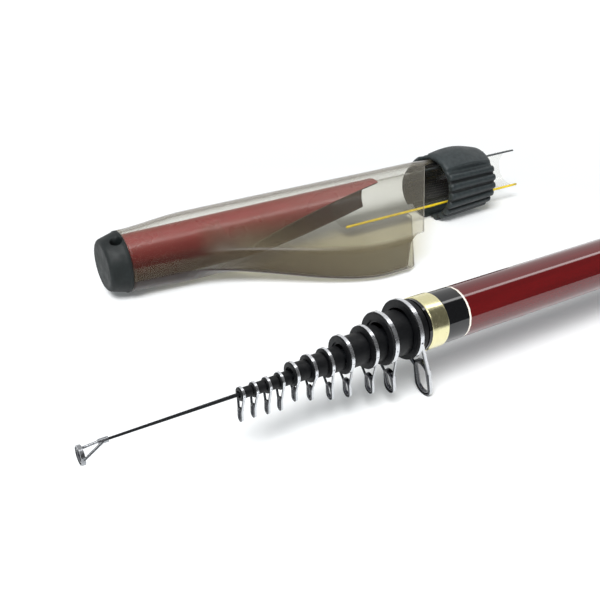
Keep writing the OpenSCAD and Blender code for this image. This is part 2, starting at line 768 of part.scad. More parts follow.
module cover_shell() {
    n = shell_sides;
    m = shell_rings;
    x0 = nose_len + face_gap;
    outer = [for (j = [0 : m]) for (k = [0 : n - 1])
        let (a = 360 * k / n, x = mix(x0, shell_end(a), j / m), p = shell_point(x, a, 0))
        [x, p[0], p[1]]];
    inner = [for (j = [0 : m]) for (k = [0 : n - 1])
        let (a = 360 * k / n, x = mix(x0, shell_end(a), j / m), p = shell_point(x, a, shell_wall))
        [x, p[0], p[1]]];
    count = (m + 1) * n;
    function at(j, k) = j * n + k % n;
    skin = [for (j = [0 : m - 1]) for (k = [0 : n - 1]) for (f = [0, 1])
        f == 0 ? [at(j, k), at(j, k + 1), at(j + 1, k)] : [at(j, k + 1), at(j + 1, k + 1), at(j + 1, k)]];
    lining = [for (f = skin) [f[2] + count, f[1] + count, f[0] + count]];
    front = [for (k = [0 : n - 1]) for (f = [0, 1])
        f == 0 ? [at(0, k), at(0, k) + count, at(0, k + 1)]
            : [at(0, k + 1), at(0, k) + count, at(0, k + 1) + count]];
    rim = [for (k = [0 : n - 1]) for (f = [0, 1])
        f == 0 ? [at(m, k), at(m, k + 1), at(m, k) + count]
            : [at(m, k + 1), at(m, k + 1) + count, at(m, k) + count]];
    color([0.72, 0.68, 0.58, 0.5])
        lay_cover()
            polyhedron(points = concat(outer, inner), faces = concat(skin, lining, front, rim));
}

// Rubber cap: its spigot holds the end of the red sleeve, and a blind hole on top takes a cord
module cover_nose_cap() {
    spigot_r = sleeve_r - sleeve_wall - face_gap;
    spigot_x = nose_len * 1.5;
    edge = (shell_nose_r - nose_front_r) * 0.6;
    hole_x = nose_len - cord_hole_d * 0.65;
    hole_floor_r = nose_front_r * 0.7;
    color([0.13, 0.14, 0.14])
        lay_cover()
            difference() {
                along_x()
                    polygon([
                        [0, 0], [nose_front_r - edge, 0], [nose_front_r, edge], [shell_nose_r, nose_len],
                        [spigot_r, nose_len], [spigot_r, spigot_x], [0, spigot_x]
                    ]);
                rotate([cord_hole_a, 0, 0])
                    translate([hole_x, hole_floor_r, 0])
                        rotate([-90, 0, 0])
                            cylinder(h = shell_nose_r, d = cord_hole_d);
            }
}

// Red sleeve: a tube from the nose cap whose keel side is cut away on a slant
module cover_inner_sleeve() {
    x0 = nose_len + face_gap;
    drop = sleeve_r + sleeve_end_y;
    slant = atan(drop / (sleeve_x - sleeve_cut_x));
    color([0.5, 0.1, 0.1])
        lay_cover()
            difference() {
                rod_cylinder(x0, sleeve_x, sleeve_r);
                rod_cylinder(x0 - eps, sleeve_x + eps, sleeve_r - sleeve_wall);
                rotate([sleeve_cut_tilt, 0, 0])
                    translate([sleeve_cut_x, -sleeve_r, 0])
                        rotate([0, 0, slant])
                            translate([0, -2 * sleeve_r, -2 * sleeve_r])
                                cube([2 * sleeve_x, 2 * sleeve_r, 4 * sleeve_r]);
            }
}

module cover_film() {
    color([0.9, 0.9, 0.88, 0.4])
        lay_cover()
            round_cover(film_low_a, film_top_a)
                translate([film_r - film_t, film_front_x])
                    square([film_t, film_rear_x - film_front_x]);
}

module cover_film_edge() {
    color("gold")
        lay_cover()
            round_cover(film_low_a - film_edge_a, film_low_a - film_edge_a / 20)
                translate([film_r - 1.5 * film_t, film_front_x])
                    square([1.5 * film_t, film_rear_x - film_front_x]);
}

module cover_pad() {
    r0 = film_r + face_gap;
    color([0.05, 0.05, 0.06])
        lay_cover()
            round_cover(-pad_a, tongue_top_a - pad_inset_a)
                polygon([
                    [r0, pad_front_x], [back_r(pad_front_x) - shell_wall - face_gap, pad_front_x],
                    [back_r(pad_rear_x) - shell_wall - face_gap, pad_rear_x], [r0, pad_rear_x]
                ]);
}

function strap_r(x) = back_r(x) + strap_in_fit;
// Profile of a band from x0 to x1 that follows the tongue's taper
module band_profile(x0, x1) {
    polygon([
        [strap_r(x0), x0], [strap_r(x0) + strap_t, x0], [strap_r(x1) + strap_t, x1], [strap_r(x1), x1]
    ]);
}

// Profile of the domed pad on the flap
module pad_profile() {
    n = strap_pad_steps;
    x0 = flap_front_x + strap_pad_h / 4;
    x1 = flap_rear_x - strap_pad_h / 4;
    top = [for (k = [0 : n])
        let (x = mix(x0, x1, k / n), h = strap_pad_h * (0.2 + 0.8 * sin(180 * k / n)))
        [strap_r(x) + strap_t + h, x]];
    polygon(concat([[strap_r(x1) + strap_t / 2, x1], [strap_r(x0) + strap_t / 2, x0]], top));
}

// Round bar of radius r along the flap's taper, at angle a and height h over the tongue
module flap_bar(a, h, r) {
    r0 = strap_r(flap_front_x) + h;
    r1 = strap_r(flap_rear_x) + h;
    run = flap_rear_x - flap_front_x;
    rotate([a, 0, 0])
        translate([flap_front_x + r, r0 - r * (r0 - r1) / run, 0])
            rotate([0, 0, -atan((r0 - r1) / run)])
                rod_cylinder(0, run - 2 * r, r);
}

module cover_strap_base() {
    color([0.16, 0.17, 0.17])
        lay_cover()
            round_cover(strap_base_a, strap_hinge_a - strap_gap_a)
                band_profile(strap_front_x, strap_rear_x);
}

// The part of the strap that opens: it turns on the round bead at its root
module cover_strap() {
    pad_end_a = 128;
    color([0.16, 0.17, 0.17])
        lay_cover() {
            round_cover(strap_hinge_a, strap_end_a)
                band_profile(flap_front_x, flap_rear_x);
            round_cover(strap_hinge_a + strap_gap_a, pad_end_a)
                pad_profile();
            for (k = [0 : strap_ribs - 1])
                flap_bar(mix(strap_rib_a0, strap_rib_a1, k / (strap_ribs - 1)), strap_t, strap_rib_r);
            flap_bar(strap_hinge_a, strap_t / 2, strap_t / 2 - strap_bead_in);
        }
}

butt_tube();
gold_ring();
fourth_section();
third_section();
second_section();
tip_section();
tip_top_frame();
tip_top_ring();
for (i = [0 : GUIDES - 1]) {
    guide_collar(i);
    guide_frame(i);
    guide_ring(i);
}
reel_seat_body();
reel_seat_rear_hood();
reel_seat_front_hood();
reel_seat_lock_nut();
rear_grip();
butt_cap();
butt_cap_o_ring();
butt_cap_cushion();
cover_shell();
cover_nose_cap();
cover_inner_sleeve();
cover_film();
cover_film_edge();
cover_pad();
cover_strap_base();
cover_strap();
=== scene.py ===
import math

import bmesh
import bpy
from mathutils import Matrix, Vector


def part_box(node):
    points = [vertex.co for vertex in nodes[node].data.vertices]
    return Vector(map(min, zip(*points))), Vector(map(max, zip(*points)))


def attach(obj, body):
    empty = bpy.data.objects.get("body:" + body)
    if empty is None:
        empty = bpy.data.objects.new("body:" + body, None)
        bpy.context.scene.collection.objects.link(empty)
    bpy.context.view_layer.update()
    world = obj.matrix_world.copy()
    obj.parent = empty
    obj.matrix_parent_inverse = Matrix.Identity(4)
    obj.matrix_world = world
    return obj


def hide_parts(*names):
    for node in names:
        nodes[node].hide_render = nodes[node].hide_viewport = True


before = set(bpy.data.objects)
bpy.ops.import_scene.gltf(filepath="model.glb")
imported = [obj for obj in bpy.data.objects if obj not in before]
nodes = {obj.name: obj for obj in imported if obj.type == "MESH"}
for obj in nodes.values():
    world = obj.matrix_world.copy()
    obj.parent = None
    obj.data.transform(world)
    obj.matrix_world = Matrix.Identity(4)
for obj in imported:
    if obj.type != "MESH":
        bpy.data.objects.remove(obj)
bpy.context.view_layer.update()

scene = bpy.context.scene
MM = 0.001
MOUTH_X = -862  # front of the gold ring on the rod axis, mm
COVER_AT = Vector((MOUTH_X - 64, 145, -16.238))  # front of the cover's axis, mm


# ---------------------------------------------------------------- camera

camera_data = bpy.data.cameras.new("camera")
camera_data.sensor_width = 36
camera_data.lens = 48
camera_data.clip_start = 0.005
camera = bpy.data.objects.new("camera", camera_data)
scene.collection.objects.link(camera)
CAMERA_AT = (-1.0317, -0.1888, 0.1343)
RIGHT = Vector((0.84146, -0.54033, 0))
UP = Vector((0.24045, 0.37446, 0.89552))
AHEAD = Vector((0.48387, 0.75354, -0.44502))
camera.matrix_world = Matrix.Translation(CAMERA_AT) @ Matrix((RIGHT, UP, -AHEAD)).transposed().to_4x4()
scene.camera = camera
scene.view_settings.view_transform = "Standard"


# ---------------------------------------------------------------- node helpers

class Look:
    """A material with short calls for its nodes."""

    def __init__(self, name):
        self.material = bpy.data.materials.new(name)
        self.material.use_nodes = True
        self.tree = self.material.node_tree
        self.shader = self.tree.nodes["Principled BSDF"]
        self.output = self.tree.nodes["Material Output"]
        self.place = self.node("ShaderNodeTexCoord").outputs["Object"]

    def node(self, kind, **settings):
        made = self.tree.nodes.new(kind)
        for key, value in settings.items():
            setattr(made, key, value)
        return made

    def link(self, source, target):
        self.tree.links.new(source, target)

    def set(self, **values):
        """Sets sockets of the main shader, named with underscores for spaces."""
        for key, value in values.items():
            self.shader.inputs[key.replace("_", " ")].default_value = value

    def scaled(self, factors):
        """Coordinates stretched by three factors."""
        m = self.node("ShaderNodeMapping")
        m.inputs["Scale"].default_value = factors
        self.link(self.place, m.inputs["Vector"])
        return m.outputs["Vector"]

    def noise(self, scale, detail=3, rough=0.55, vector=None):
        n = self.node("ShaderNodeTexNoise")
        n.inputs["Scale"].default_value = scale
        n.inputs["Detail"].default_value = detail
        n.inputs["Roughness"].default_value = rough
        self.link(vector or self.place, n.inputs["Vector"])
        return n.outputs["Fac"]

    def ramp(self, source, stops, mode="LINEAR"):
        r = self.node("ShaderNodeValToRGB")
        r.color_ramp.interpolation = mode
        for k, (at, colour) in enumerate(stops):
            stop = r.color_ramp.elements[k] if k < 2 else r.color_ramp.elements.new(at)
            stop.position = at
            stop.color = (*colour, 1)
        self.link(source, r.inputs["Fac"])
        return r.outputs["Color"]

    def span(self, source, low, high, start=0.3, stop=0.7):
        """A value from low to high as the source goes from start to stop."""
        m = self.node("ShaderNodeMapRange")
        m.inputs["From Min"].default_value = start
        m.inputs["From Max"].default_value = stop
        m.inputs["To Min"].default_value = low
        m.inputs["To Max"].default_value = high
        self.link(source, m.inputs["Value"])
        return m.outputs["Result"]

    def maths(self, kind, a, b):
        m = self.node("ShaderNodeMath", operation=kind)
        for k, value in enumerate((a, b)):
            if isinstance(value, (int, float)):
                m.inputs[k].default_value = value
            else:
                self.link(value, m.inputs[k])
        return m.outputs[0]

    def axis(self, letter, vector=None):
        """One part of a vector, or else of the place."""
        s = self.node("ShaderNodeSeparateXYZ")
        self.link(vector or self.place, s.inputs[0])
        return s.outputs[letter]

    def mix(self, factor, a, b):
        m = self.node("ShaderNodeMix", data_type="RGBA")
        self.link(factor, m.inputs["Factor"])
        for socket, value in ((m.inputs[6], a), (m.inputs[7], b)):
            if isinstance(value, tuple):
                socket.default_value = (*value, 1)
            else:
                self.link(value, socket)
        return m.outputs[2]

    def mark(self, name):
        """A value painted on the mesh's points."""
        return self.node("ShaderNodeAttribute", attribute_name=name).outputs["Fac"]

    def colour(self, source):
        self.link(source, self.shader.inputs["Base Color"])

    def rough(self, source):
        self.link(source, self.shader.inputs["Roughness"])

    def bump(self, source, strength, distance):
        b = self.node("ShaderNodeBump")
        b.inputs["Strength"].default_value = strength
        b.inputs["Distance"].default_value = distance
        self.link(source, b.inputs["Height"])
        self.link(b.outputs["Normal"], self.shader.inputs["Normal"])


def srgb(r, g, b):
    """Linear colour from 0-255 screen values."""
    def one(v):
        v /= 255
        return v / 12.92 if v <= 0.04045 else ((v + 0.055) / 1.055) ** 2.4
    return one(r), one(g), one(b)


def mottled(name, dark, light, grain, rough, bump=None, hollow_shade=None, **sockets):
    """A moulded finish: two close colours, uneven gloss and a fine grain, all at the scale 1 / grain metres.
    The hollow colour is painted shade, laid where the mesh is marked as a hollow."""
    look = Look(name)
    n = look.noise(grain, 4)
    tone = look.ramp(n, [(0.3, dark), (0.7, light)])
    # painted shade: marked hollows take the dark hollow colour
    look.colour(look.mix(look.mark("hollow_shade"), tone, hollow_shade) if hollow_shade else tone)
    look.rough(look.span(look.noise(grain * 0.37, 3), *rough))
    if bump:
        look.bump(look.noise(bump[0], 4, 0.65), bump[1], bump[2])
    look.set(**sockets)
    return look.material


# ---------------------------------------------------------------- materials

PAINT_SPAN = 100  # length along the tube over which a painted line is placed, mm
STRIPE = (17.15, 17.95)  # pale stripe's edges behind the mouth, mm
SEAT_SPAN_X, SEAT_LINE = -350, (86, 86.7)  # start of the seat's line span, and its edges behind that, mm
ON, OFF = (1, 1, 1), (0, 0, 0)


def lacquer():
    """Burgundy lacquer over the blank: a black band and a pale stripe at the mouth, and a line at the seat."""
    look = Look("lacquer")

    def behind_x(x):
        return look.span(look.axis("X"), 0, 1, x * MM, (x + PAINT_SPAN) * MM)

    def line(source, edges):
        front, rear = (e / PAINT_SPAN for e in edges)
        return look.ramp(source, [(0, OFF), (front, ON), (rear, OFF)], "CONSTANT")

    behind_mouth = behind_x(MOUTH_X)
    flake = look.noise(5200, 2, 0.5)
    streak = look.noise(1, 3, 0.6, look.scaled((14, 260, 260)))
    red = look.ramp(streak, [(0.25, srgb(78, 4, 7)), (0.75, srgb(97, 8, 11))])
    red = look.mix(look.span(flake, 0, 0.16, 0.55, 0.8), red, srgb(178, 48, 46))
    black = srgb(7, 8, 10)
    pale = srgb(252, 244, 230)
    past_band = look.ramp(behind_mouth, [(0, OFF), (STRIPE[1] / PAINT_SPAN, ON)], "CONSTANT")
    tone = look.mix(past_band, black, red)
    tone = look.mix(line(behind_mouth, STRIPE), tone, pale)
    look.colour(look.mix(line(behind_x(SEAT_SPAN_X), SEAT_LINE), tone, pale))
    look.rough(look.span(streak, 0.26, 0.36))
    look.bump(look.noise(420, 2, 0.4), 0.02, 0.0004)
    look.set(Coat_Weight=1.0, Coat_Roughness=0.045, Coat_IOR=1.65, Specular_IOR_Level=0.0)
    return look.material


def turned_metal(name, dark, light, rough, lines, strength):
    """Polished metal with fine marks round the rod axis."""
    look = Look(name)
    grain = look.noise(1, 3, 0.6, look.scaled((lines, lines * 0.03, lines * 0.03)))
    look.colour(look.ramp(grain, [(0.3, dark), (0.7, light)]))
    look.rough(look.span(look.noise(900, 3), *rough))
    look.bump(grain, strength, 0.00006)
    look.set(Metallic=1.0)
    return look.material


def frame_steel(name, top, low, bright=(212, 232), dark=(38, 66)):
    """Polished frame: satin on its band, and from height top down to height low it turns glossy.
    There its outer sides are painted bright as a reflection, and the others painted dark as shade."""
    look = Look(name)
    down = look.span(look.axis("Z"), 0, 1, top, low)
    across = look.axis("Y", look.node("ShaderNodeTexCoord").outputs["Normal"])
    outward = look.maths("MULTIPLY", across, look.maths("SIGN", look.axis("Y"), 0))
    # painted light: below the band, outward faces take the bright reflection tone, the rest the dark shade
    # tone
    shade = look.maths("MULTIPLY", down, look.span(outward, 1, 0.18, 0.35, 0.85))
    grain = look.noise(1600, 3)
    tones = [look.ramp(grain, [(0.3, srgb(v[0], v[0] + 2, v[0] + 5)), (0.7, srgb(v[1], v[1] + 2, v[1] + 6))])
             for v in (bright, dark)]
    look.colour(look.mix(shade, *tones))
    look.rough(look.maths("ADD", look.span(look.noise(700, 3), 0, 0.06), look.span(down, 0.24, 0.1, 0, 1)))
    look.bump(grain, 0.05, 0.00004)
    look.set(Metallic=1.0)
    return look.material


def carbon():
    """Matt black blank with the fine turns of its wrapping tape."""
    look = Look("carbon")
    turns = look.node("ShaderNodeTexWave", bands_direction="X", wave_profile="SAW")
    turns.inputs["Scale"].default_value = 95
    turns.inputs["Distortion"].default_value = 0.4
    look.link(look.place, turns.inputs["Vector"])
    n = look.noise(1500, 4)
    look.colour(look.ramp(n, [(0.3, srgb(12, 13, 15)), (0.7, srgb(24, 26, 29))]))
    look.rough(look.span(n, 0.3, 0.45))
    look.bump(turns.outputs["Fac"], 0.25, 0.00008)
    look.set(Coat_Weight=0.12, Coat_Roughness=0.2, Specular_IOR_Level=0.2)
    return look.material


def foam():
    """Firm black foam of the rear grip: small cells, matt."""
    look = Look("foam")
    cells = look.node("ShaderNodeTexVoronoi")
    cells.inputs["Scale"].default_value = 1300
    look.link(look.place, cells.inputs["Vector"])
    n = look.noise(300, 4)
    look.colour(look.ramp(n, [(0.3, srgb(28, 28, 30)), (0.7, srgb(43, 43, 45))]))
    look.rough(look.span(n, 0.72, 0.9))
    look.bump(cells.outputs["Distance"], 0.35, 0.0002)
    look.set(Sheen_Weight=0.15, Sheen_Roughness=0.5)
    return look.material


def pad_cloth():
    """Knitted black cloth on the pad: small loops in rows."""
    look = Look("pad_cloth")
    a = look.node("ShaderNodeTexWave", bands_direction="X")
    b = look.node("ShaderNodeTexWave", bands_direction="Z")
    for w in (a, b):
        w.inputs["Scale"].default_value = 260
        w.inputs["Distortion"].default_value = 0.6
        look.link(look.place, w.inputs["Vector"])
    loops = look.maths("MULTIPLY", a.outputs["Fac"], b.outputs["Fac"])
    look.colour(look.ramp(loops, [(0.1, srgb(8, 8, 12)), (0.9, srgb(34, 33, 42))]))
    look.rough(look.span(loops, 0.95, 0.7))
    look.bump(loops, 0.6, 0.0004)
    look.set(Sheen_Weight=0.3, Sheen_Roughness=0.4)
    return look.material


def sleeve_plastic():
    """Glossy red lining with painted light: a painted lit red on its upper side, painted shade in deep
    red-brown below and inside, and a faint painted glow.
    """
    look = Look("sleeve_plastic")
    normal = look.node("ShaderNodeTexCoord").outputs["Normal"]
    upward = look.axis("Z", normal)
    # painted light: the colour goes from shade-dark to lit red as the surface faces up
    tone = look.ramp(look.span(upward, 0, 1, -0.3, 0.9), [
        (0, srgb(38, 13, 12)), (0.4, srgb(66, 19, 20)), (0.72, srgb(98, 26, 30)), (1, srgb(128, 43, 47))])
    reach = look.node("ShaderNodeVectorMath", operation="SUBTRACT")
    look.link(look.place, reach.inputs[0])
    reach.inputs[1].default_value = COVER_AT * MM
    away = look.node("ShaderNodeVectorMath", operation="DOT_PRODUCT")
    look.link(reach.outputs[0], away.inputs[0])
    look.link(normal, away.inputs[1])
    outer = look.span(away.outputs["Value"], 0, 1, -0.004, 0.004)
    # painted shade: the inner side of the lining is darker
    tone = look.mix(outer, srgb(46, 17, 16), tone)
    tone = look.mix(look.span(look.noise(120, 4), 0, 0.2), tone, srgb(84, 26, 28))
    look.colour(tone)
    # painted glow: the lining's colour is emitted too, at the strength set below
    look.link(tone, look.shader.inputs["Emission Color"])
    look.rough(look.span(look.noise(44, 3), 0.24, 0.32))
    look.bump(look.noise(2500, 4, 0.65), 0.06, 0.0001)
    # painted highlight: the gloss is strong only on the upper outer side
    gloss = look.maths("MULTIPLY", look.span(upward, 0.12, 1, 0.1, 0.7), look.span(outer, 0.12, 1, 0, 1))
    look.link(gloss, look.shader.inputs["Specular IOR Level"])
    look.set(Emission_Strength=0.3)
    return look.material


def see_through(name, tint, shade, body, veil, edge, rough, cloud, polish, thick_and_shade=None, foot=None):
    """Clear or smoky plastic. Light takes the colour tint straight through it, and shade into its shadow.
    The share that shows its body goes from veil to edge as the wall is seen along its length.
    The last two are the tones where the mesh is marked as a deep wall, partly painted shade, or as an edge of
    painted shade."""
    look = Look(name)
    clear = look.node("ShaderNodeBsdfTransparent")
    shadow = look.node("ShaderNodeLightPath").outputs["Is Shadow Ray"]
    look.link(look.mix(shadow, tint, shade), clear.inputs["Color"])
    glow = look.node("ShaderNodeBsdfTranslucent")
    n = look.noise(cloud, 3)
    facing = look.node("ShaderNodeLayerWeight")
    facing.inputs["Blend"].default_value = 0.35
    share = look.span(look.maths("POWER", facing.outputs["Facing"], 3.0), veil, edge, 0, 1)

    def clouded(colour):
        return look.ramp(n, [(0.3, tuple(c * 0.92 for c in colour)), (0.7, colour)])

    tone = clouded(body)
    # painted shade: the marked deep wall and dark edge get darker, more solid tones
    for mark, colour, most in (("wall", thick_and_shade, 0.62), ("foot", foot, 0.85)):
        if colour:
            deep = look.mark(mark)
            tone = look.mix(deep, tone, clouded(colour))
            share = look.maths("MAXIMUM", share, look.maths("MULTIPLY", deep, most))
    lit = look.span(shadow, 1, 0.7, 0, 1)
    share = look.maths("MULTIPLY", share, lit)
    look.colour(tone)
    look.link(tone, glow.inputs["Color"])
    look.rough(look.span(look.noise(cloud * 4, 3), rough * 0.85, rough * 1.15))
    solid = look.node("ShaderNodeMixShader")
    solid.inputs[0].default_value = 0.4
    look.link(look.shader.outputs[0], solid.inputs[1])
    look.link(glow.outputs[0], solid.inputs[2])
    mix = look.node("ShaderNodeMixShader")
    look.link(share, mix.inputs[0])
    look.link(clear.outputs[0], mix.inputs[1])
    look.link(solid.outputs[0], mix.inputs[2])
    shine = look.node("ShaderNodeBsdfGlossy")
    shine.inputs["Roughness"].default_value = rough
    gloss = look.node("ShaderNodeMixShader")
    slope = look.node("ShaderNodeLayerWeight")
    slope.inputs["Blend"].default_value = 0.5
    mirror = look.span(look.maths("POWER", slope.outputs["Facing"], 5), polish, 1, 0, 1)
    look.link(look.maths("MULTIPLY", mirror, lit), gloss.inputs[0])
    look.link(mix.outputs[0], gloss.inputs[1])
    look.link(shine.outputs[0], gloss.inputs[2])
    look.link(gloss.outputs[0], look.output.inputs["Surface"])
    look.set(Specular_IOR_Level=0.2)
    return look.material


LACQUER = lacquer()
GOLD = turned_metal("gold", srgb(226, 219, 166), srgb(244, 238, 196), (0.18, 0.28), 9000, 0.1)
NUT = turned_metal("nut_metal", srgb(150, 136, 84), srgb(178, 164, 108), (0.22, 0.34), 5000, 0.2)
CARBON = carbon()
COLLAR = mottled("collar_plastic", srgb(7, 8, 10), srgb(15, 16, 18), 900, (0.4, 0.56), (5200, 0.12, 0.0001),
                 Specular_IOR_Level=0.22)
CERAMIC = mottled("ceramic", srgb(34, 36, 41), srgb(52, 54, 60), 700, (0.1, 0.2),
                  Coat_Weight=0.6, Coat_Roughness=0.06)
SEAT = mottled("seat_plastic", srgb(26, 27, 29), srgb(40, 41, 44), 500, (0.32, 0.46), (4000, 0.1, 0.0001))
FOAM = foam()
CAP = mottled("cap_metal", srgb(46, 47, 50), srgb(66, 67, 71), 800, (0.3, 0.42), (5000, 0.08, 0.0001),
              Metallic=0.6)
SEAL = mottled("seal_rubber", srgb(16, 16, 17), srgb(26, 26, 27), 900, (0.5, 0.7), (4000, 0.1, 0.0001))
# the last colour is black painted into the cord hole as its shade
NOSE = mottled("nose_rubber", srgb(12, 17, 18), srgb(21, 28, 28), 600, (0.5, 0.66), (4200, 0.18, 0.00012),
               srgb(2, 2, 3), Specular_IOR_Level=0.3)
# the last colour is dark painted into the grooves between the ribs as their shade
STRAP = mottled("strap_rubber", srgb(31, 38, 40), srgb(45, 53, 55), 500, (0.42, 0.58), (4600, 0.15, 0.0001),
                srgb(11, 15, 16), Specular_IOR_Level=0.4)
SLEEVE = sleeve_plastic()
YELLOW = mottled("film_edge", srgb(222, 190, 20), srgb(248, 222, 62), 400, (0.3, 0.45),
                 Specular_IOR_Level=0.4)
DARK_EDGE = mottled("film_top", srgb(48, 52, 54), srgb(70, 74, 76), 600, (0.35, 0.5))
PAD = pad_cloth()
# its last two tones are painted shade, for the deep wall and the dark edges
SHELL = see_through("shell", tint=(0.975, 0.973, 0.958), shade=(0.9, 0.88, 0.78), body=srgb(146, 136, 112),
                    veil=0.03, edge=1.0, rough=0.34, cloud=60, polish=0.008,
                    thick_and_shade=srgb(124, 114, 88), foot=srgb(50, 29, 25))
FILM = see_through("film", tint=(0.97, 0.97, 0.955), shade=(0.97, 0.97, 0.96), body=srgb(232, 232, 222),
                   veil=0.02, edge=0.25, rough=0.14, cloud=90, polish=0.02)


# ---------------------------------------------------------------- CAD nodes: finish and edges

def soften(node, width, material, angle=30):
    """Small rounds on a CAD node's sharp edges."""
    o = nodes[node]
    mesh = o.data
    if "custom_normal" in mesh.attributes:
        mesh.attributes.remove(mesh.attributes["custom_normal"])
    for face in mesh.polygons:
        face.use_smooth = True
    weld = o.modifiers.new("weld", "WELD")
    weld.merge_threshold = 1e-6
    bevel = o.modifiers.new("edges", "BEVEL")
    bevel.width = width * MM
    bevel.segments = 2
    bevel.limit_method = "ANGLE"
    bevel.angle_limit = math.radians(angle)
    bevel.harden_normals = True
    bevel.use_clamp_overlap = True
    o.modifiers.new("normals", "WEIGHTED_NORMAL").keep_sharp = True
    dress(node, material)


def dress(node, material):
    """Gives a CAD node its material."""
    materials = nodes[node].data.materials
    materials.clear()
    materials.append(material)


def deepen(node, factor):
    """Makes a line ring deeper along the rod about its own middle, as its rounded lining is."""
    low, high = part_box(node)
    group = bpy.data.node_groups.new(f"deepen_{node}", "GeometryNodeTree")
    group.interface.new_socket("Geometry", in_out="INPUT", socket_type="NodeSocketGeometry")
    group.interface.new_socket("Geometry", in_out="OUTPUT", socket_type="NodeSocketGeometry")
    entry, leave = group.nodes.new("NodeGroupInput"), group.nodes.new("NodeGroupOutput")
    move = group.nodes.new("GeometryNodeSetPosition")
    place = group.nodes.new("GeometryNodeInputPosition")
    scale = group.nodes.new("ShaderNodeVectorMath")
    scale.operation = "MULTIPLY_ADD"
    scale.inputs[1].default_value = (factor, 1, 1)
    scale.inputs[2].default_value = ((1 - factor) * (low.x + high.x) / 2, 0, 0)
    group.links.new(place.outputs[0], scale.inputs[0])
    group.links.new(scale.outputs[0], move.inputs["Position"])
    group.links.new(entry.outputs[0], move.inputs["Geometry"])
    group.links.new(move.outputs[0], leave.inputs[0])
    nodes[node].modifiers.new("deepen", "NODES").node_group = group


GUIDES, RING_DEEPER, LAST_RING_DEEPER = 11, 2.2, 1.3

dress("butt_tube", LACQUER)
soften("gold_ring", 0.12, GOLD)
for name in ("fourth_section", "third_section", "second_section", "tip_section"):
    dress(name, CARBON)
for i in range(1, GUIDES + 1):
    soften(f"guide_{i}_collar", 0.08 + 0.012 * i, COLLAR)
    low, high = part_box(f"guide_{i}_collar")
    middle, r = (low.z + high.z) / 2, (high.z - low.z) / 2
    dress(f"guide_{i}_frame", frame_steel(f"frame_steel_{i}", middle - 0.1 * r, middle - 0.6 * r))
    dress(f"guide_{i}_ring", CERAMIC)
    deepen(f"guide_{i}_ring", RING_DEEPER if i < GUIDES else LAST_RING_DEEPER)
low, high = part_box("tip_top_ring")
dress("tip_top_frame", frame_steel("tip_steel", high.z - 0.001, low.z - 0.006, (136, 166), (64, 100)))
dress("tip_top_ring", CERAMIC)
soften("reel_seat_body", 0.15, SEAT)
soften("reel_seat_rear_hood", 0.4, SEAT)
soften("reel_seat_front_hood", 0.4, SEAT)
soften("reel_seat_lock_nut", 0.3, NUT)
soften("butt_cap", 0.4, CAP)
dress("butt_cap_o_ring", SEAL)
dress("butt_cap_cushion", SEAL)
dress("cover_inner_sleeve", SLEEVE)
dress("cover_film", FILM)


# ---------------------------------------------------------------- mesh helpers

def piece(name, verts, faces, material, body, stands_for=(), matrix=None):
    """A smooth mesh in mm that rides on a body and stands for some CAD nodes."""
    mesh = bpy.data.meshes.new(name)
    mesh.from_pydata([Vector(v) * MM for v in verts], [], faces)
    work = bmesh.new()
    work.from_mesh(mesh)
    bmesh.ops.remove_doubles(work, verts=work.verts, dist=1e-7)
    bmesh.ops.recalc_face_normals(work, faces=work.faces)
    work.to_mesh(mesh)
    work.free()
    if matrix:
        mesh.transform(matrix)
    for face in mesh.polygons:
        face.use_smooth = True
    mesh.materials.append(material)
    o = bpy.data.objects.new(name, mesh)
    scene.collection.objects.link(o)
    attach(o, body)
    if stands_for:
        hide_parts(*stands_for)
    return o


def rounded(points, radii, steps=6):
    """A polyline whose inner corners are arcs of the given radii."""
    out = [Vector(points[0])]
    for before, at, after, r in zip(points, points[1:], points[2:], radii):
        a, p, b = Vector(before), Vector(at), Vector(after)
        u, v = (a - p).normalized(), (b - p).normalized()
        turn = u.angle(v)
        if r <= 0 or abs(turn - math.pi) < 1e-3:
            out.append(p)
            continue
        cut = min(r / math.tan(turn / 2), (a - p).length * 0.49, (b - p).length * 0.49)
        r = cut * math.tan(turn / 2)
        c = p + (u + v).normalized() * (r / math.sin(turn / 2))
        s, e = p + u * cut - c, p + v * cut - c
        full = s.angle(e)
        for k in range(steps + 1):
            f = k / steps
            q = (s * math.sin((1 - f) * full) + e * math.sin(f * full)) / math.sin(full)
            out.append(c + q)
    out.append(Vector(points[-1]))
    return out


def skin(loops, ends=False):
    """Vertices and faces over a list of equal closed loops, with a face on each end if asked for."""
    verts = [v for loop in loops for v in loop]
    n = len(loops[0])
    faces = []
    for j in range(len(loops) - 1):
        for k in range(n):
            m = (k + 1) % n
            faces.append((j * n + k, j * n + m, (j + 1) * n + m, (j + 1) * n + k))
    if ends:
        faces += [tuple(range(n)), tuple(range(len(verts) - n, len(verts)))]
    return verts, faces


def lathe(profile, segments):
    """Vertices and faces of a profile of (x, r) turned round X."""
    turns = [2 * math.pi * k / segments for k in range(segments)]
    return skin([[(x, r * math.cos(a), r * math.sin(a)) for a in turns] for x, r in profile])


# ---------------------------------------------------------------- tip cover

LIE_SLOPE, COVER_PITCH, COVER_YAW, COVER_ROLL = 0.902669, 0.5423, 1.5, 7
LAY = (
    Matrix.Translation(COVER_AT * MM)
    @ Matrix.Rotation(math.radians(-LIE_SLOPE - COVER_PITCH), 4, "Y")
    @ Matrix.Rotation(math.radians(-COVER_YAW), 4, "Z")
    @ Matrix.Rotation(math.radians(COVER_ROLL), 4, "X")
)
